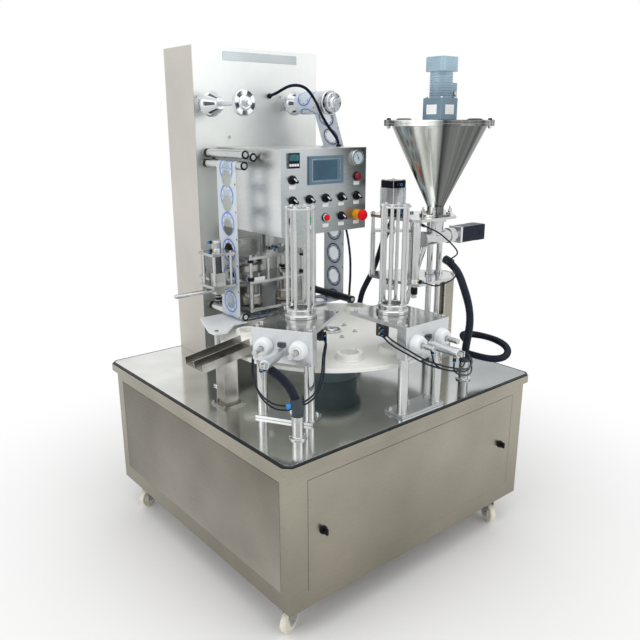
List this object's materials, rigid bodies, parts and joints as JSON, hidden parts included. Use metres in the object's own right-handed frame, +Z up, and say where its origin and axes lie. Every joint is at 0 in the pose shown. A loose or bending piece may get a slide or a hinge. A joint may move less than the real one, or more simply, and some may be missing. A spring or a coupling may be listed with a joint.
{
  "type": "coffee capsule filling machine",
  "caption": "Rotary coffee capsule filling machine on a wheeled stainless cabinet, with capsule dispensers, an auger filler under a hopper, a press, a film sealing unit and a discharge chute.",
  "frame": {"origin": "on the floor under the middle of the whole machine", "axes": "+Z up, +X to the right along the front panel, +Y from the front panel to the tower at the back"},
  "size_m": [1.1976, 1.2486, 1.752],
  "materials": {
    "stainless": "brushed",
    "polished": "polished",
    "aluminium": "satin",
    "zinc": "zinc plated",
    "nylon": "moulded",
    "acetal": "machined",
    "ivory": "machined",
    "black": "moulded",
    "rubber": "matte",
    "red": "glossy",
    "green": "glossy",
    "motor": "painted",
    "screen": "glossy",
    "film": "printed film"
  },
  "bodies": {
    "machine_base": {"cabinet_frame": "stainless", "left_panel": "stainless", "right_panel": "stainless", "table_frame": "stainless", "table_top": "polished", "indexing_drive": "motor", "tower": "stainless", "control_box": "stainless", "touch_screen": "screen", "dispenser_a_frame": "acetal", "dispenser_a_magazine": "aluminium", "dispenser_b_frame": "acetal", "dispenser_b_magazine": "aluminium", "filler_stand": "aluminium", "hopper": "polished", "hopper_lid": "polished", "mixer_motor": "motor", "auger_drive": "aluminium", "sealing_frame": "aluminium", "film_coder": "aluminium", "discharge_chute": "polished", "hose_a": "rubber", "hose_b": "rubber", "film_web": "film"},
    "front_panel": {"front_panel": "stainless"},
    "latch_left": {"latch_left": "black"},
    "latch_right": {"latch_right": "black"},
    "caster_fork_1": {"caster_fork_1": "zinc"},
    "caster_wheel_1": {"caster_wheel_1": "nylon"},
    "caster_fork_2": {"caster_fork_2": "zinc"},
    "caster_wheel_2": {"caster_wheel_2": "nylon"},
    "caster_fork_3": {"caster_fork_3": "zinc"},
    "caster_wheel_3": {"caster_wheel_3": "nylon"},
    "caster_fork_4": {"caster_fork_4": "zinc"},
    "caster_wheel_4": {"caster_wheel_4": "nylon"},
    "turntable": {"turntable": "ivory"},
    "selector_1": {"selector_1": "black"},
    "selector_2": {"selector_2": "black"},
    "selector_3": {"selector_3": "black"},
    "selector_4": {"selector_4": "black"},
    "selector_5": {"selector_5": "black"},
    "selector_6": {"selector_6": "black"},
    "selector_7": {"selector_7": "black"},
    "push_button_1": {"push_button_1": "red"},
    "push_button_2": {"push_button_2": "green"},
    "push_button_3": {"push_button_3": "red"},
    "emergency_stop": {"emergency_stop": "red"},
    "dispenser_a_pusher": {"dispenser_a_pusher": "aluminium"},
    "dispenser_b_pusher": {"dispenser_b_pusher": "aluminium"},
    "agitator": {"agitator": "stainless"},
    "tamper": {"tamper": "black"},
    "press_head": {"press_head": "aluminium"},
    "sealing_head": {"sealing_head": "aluminium"},
    "film_roller_1": {"film_roller_1": "stainless"},
    "film_roller_2": {"film_roller_2": "stainless"},
    "film_roller_3": {"film_roller_3": "stainless"},
    "film_roller_4": {"film_roller_4": "stainless"},
    "film_roller_5": {"film_roller_5": "stainless"},
    "rewind_reel": {"rewind_reel": "aluminium"},
    "supply_reel": {"supply_reel": "aluminium"}
  },
  "joints": [
    {"name": "front_panel_tilt", "type": "hinge", "parent": "machine_base", "child": "front_panel", "pos_m": [-0.0292, -0.4853, 0.172], "axis": [1, 0, 0], "range_deg": [0, 25]},
    {"name": "latch_left_turn", "type": "hinge", "parent": "front_panel", "child": "latch_left", "pos_m": [-0.4527, -0.4856, 0.353], "axis": [0, -1, 0], "range_deg": [0, 90]},
    {"name": "latch_right_turn", "type": "hinge", "parent": "front_panel", "child": "latch_right", "pos_m": [0.4013, -0.4856, 0.353], "axis": [0, -1, 0], "range_deg": [0, 90]},
    {"name": "caster_swivel_1", "type": "hinge", "parent": "machine_base", "child": "caster_fork_1", "pos_m": [-0.4992, -0.4053, 0.1107], "axis": [0, 0, 1], "continuous": true},
    {"name": "caster_roll_1", "type": "hinge", "parent": "caster_fork_1", "child": "caster_wheel_1", "pos_m": [-0.53303, -0.41761, 0.037], "axis": [0.342, -0.9397, 0], "continuous": true},
    {"name": "caster_swivel_2", "type": "hinge", "parent": "machine_base", "child": "caster_fork_2", "pos_m": [0.4408, -0.4053, 0.1107], "axis": [0, 0, 1], "continuous": true},
    {"name": "caster_roll_2", "type": "hinge", "parent": "caster_fork_2", "child": "caster_wheel_2", "pos_m": [0.42849, -0.43913, 0.037], "axis": [0.9397, -0.342, 0], "continuous": true},
    {"name": "caster_swivel_3", "type": "hinge", "parent": "machine_base", "child": "caster_fork_3", "pos_m": [-0.4992, 0.5247, 0.1107], "axis": [0, 0, 1], "continuous": true},
    {"name": "caster_roll_3", "type": "hinge", "parent": "caster_fork_3", "child": "caster_wheel_3", "pos_m": [-0.53397, 0.51538, 0.037], "axis": [0.2588, -0.9659, 0], "continuous": true},
    {"name": "caster_swivel_4", "type": "hinge", "parent": "machine_base", "child": "caster_fork_4", "pos_m": [0.4408, 0.5247, 0.1107], "axis": [0, 0, 1], "continuous": true},
    {"name": "caster_roll_4", "type": "hinge", "parent": "caster_fork_4", "child": "caster_wheel_4", "pos_m": [0.40697, 0.53701, 0.037], "axis": [-0.342, -0.9397, 0], "continuous": true},
    {"name": "turntable_index", "type": "hinge", "parent": "machine_base", "child": "turntable", "pos_m": [-0.0292, -0.0303, 0.767], "axis": [0, 0, 1], "continuous": true},
    {"name": "selector_1_turn", "type": "hinge", "parent": "machine_base", "child": "selector_1", "pos_m": [-0.1552, 0.0284, 1.307], "axis": [0, -1, 0], "range_deg": [-45, 45]},
    {"name": "selector_2_turn", "type": "hinge", "parent": "machine_base", "child": "selector_2", "pos_m": [-0.1552, 0.0284, 1.238], "axis": [0, -1, 0], "range_deg": [-45, 45]},
    {"name": "selector_3_turn", "type": "hinge", "parent": "machine_base", "child": "selector_3", "pos_m": [-0.0817, 0.0284, 1.238], "axis": [0, -1, 0], "range_deg": [-45, 45]},
    {"name": "selector_4_turn", "type": "hinge", "parent": "machine_base", "child": "selector_4", "pos_m": [-0.0082, 0.0284, 1.238], "axis": [0, -1, 0], "range_deg": [-45, 45]},
    {"name": "selector_5_turn", "type": "hinge", "parent": "machine_base", "child": "selector_5", "pos_m": [0.0653, 0.0284, 1.238], "axis": [0, -1, 0], "range_deg": [-45, 45]},
    {"name": "selector_6_turn", "type": "hinge", "parent": "machine_base", "child": "selector_6", "pos_m": [0.1388, 0.0284, 1.238], "axis": [0, -1, 0], "range_deg": [-45, 45]},
    {"name": "selector_7_turn", "type": "hinge", "parent": "machine_base", "child": "selector_7", "pos_m": [0.0653, 0.0284, 1.17], "axis": [0, -1, 0], "range_deg": [-45, 45]},
    {"name": "push_button_1_press", "type": "slide", "parent": "machine_base", "child": "push_button_1", "axis": [0, 1, 0], "range_m": [0, 0.003], "stiffness_N_per_m": 300, "springref_m": -0.004},
    {"name": "push_button_2_press", "type": "slide", "parent": "machine_base", "child": "push_button_2", "axis": [0, 1, 0], "range_m": [0, 0.003], "stiffness_N_per_m": 300, "springref_m": -0.004},
    {"name": "push_button_3_press", "type": "slide", "parent": "machine_base", "child": "push_button_3", "axis": [0, 1, 0], "range_m": [0, 0.003], "stiffness_N_per_m": 300, "springref_m": -0.004},
    {"name": "emergency_stop_press", "type": "slide", "parent": "machine_base", "child": "emergency_stop", "axis": [0, 1, 0], "range_m": [0, 0.005], "stiffness_N_per_m": 500, "springref_m": -0.005},
    {"name": "dispenser_a_push", "type": "slide", "parent": "machine_base", "child": "dispenser_a_pusher", "axis": [0.866, 0.5, 0], "range_m": [0, 0.045]},
    {"name": "dispenser_b_push", "type": "slide", "parent": "machine_base", "child": "dispenser_b_pusher", "axis": [0, 1, 0], "range_m": [0, 0.045]},
    {"name": "agitator_turn", "type": "hinge", "parent": "machine_base", "child": "agitator", "pos_m": [0.3358, -0.1803, 1.222], "axis": [0, 0, 1], "continuous": true},
    {"name": "tamper_lower", "type": "slide", "parent": "machine_base", "child": "tamper", "axis": [0, 0, -1], "range_m": [0, 0.045]},
    {"name": "press_lower", "type": "slide", "parent": "machine_base", "child": "press_head", "axis": [0, 0, -1], "range_m": [0, 0.055]},
    {"name": "sealing_lower", "type": "slide", "parent": "machine_base", "child": "sealing_head", "axis": [0, 0, -1], "range_m": [0, 0.04]},
    {"name": "film_roller_1_turn", "type": "hinge", "parent": "machine_base", "child": "film_roller_1", "pos_m": [-0.2527, 0.4017, 1.3875], "axis": [0, 1, 0], "continuous": true},
    {"name": "film_roller_2_turn", "type": "hinge", "parent": "machine_base", "child": "film_roller_2", "pos_m": [-0.2587, 0.4017, 1.351], "axis": [0, 1, 0], "continuous": true},
    {"name": "film_roller_3_turn", "type": "hinge", "parent": "machine_base", "child": "film_roller_3", "pos_m": [-0.2207, 0.4017, 1.378], "axis": [0, 1, 0], "continuous": true},
    {"name": "film_roller_4_turn", "type": "hinge", "parent": "machine_base", "child": "film_roller_4", "pos_m": [-0.2587, 0.4017, 0.816], "axis": [0, 1, 0], "continuous": true},
    {"name": "film_roller_5_turn", "type": "hinge", "parent": "machine_base", "child": "film_roller_5", "pos_m": [0.2108, 0.3597, 0.816], "axis": [0, 1, 0], "continuous": true},
    {"name": "rewind_reel_turn", "type": "hinge", "parent": "machine_base", "child": "rewind_reel", "pos_m": [-0.2582, 0.4137, 1.5546], "axis": [0, 1, 0], "continuous": true},
    {"name": "supply_reel_turn", "type": "hinge", "parent": "machine_base", "child": "supply_reel", "pos_m": [0.1138, 0.4137, 1.562], "axis": [0, 1, 0], "continuous": true}
  ],
  "couplings": [
    {"joint": "film_roller_1_turn", "follows": "film_roller_2_turn", "ratio": -1}
  ]
}
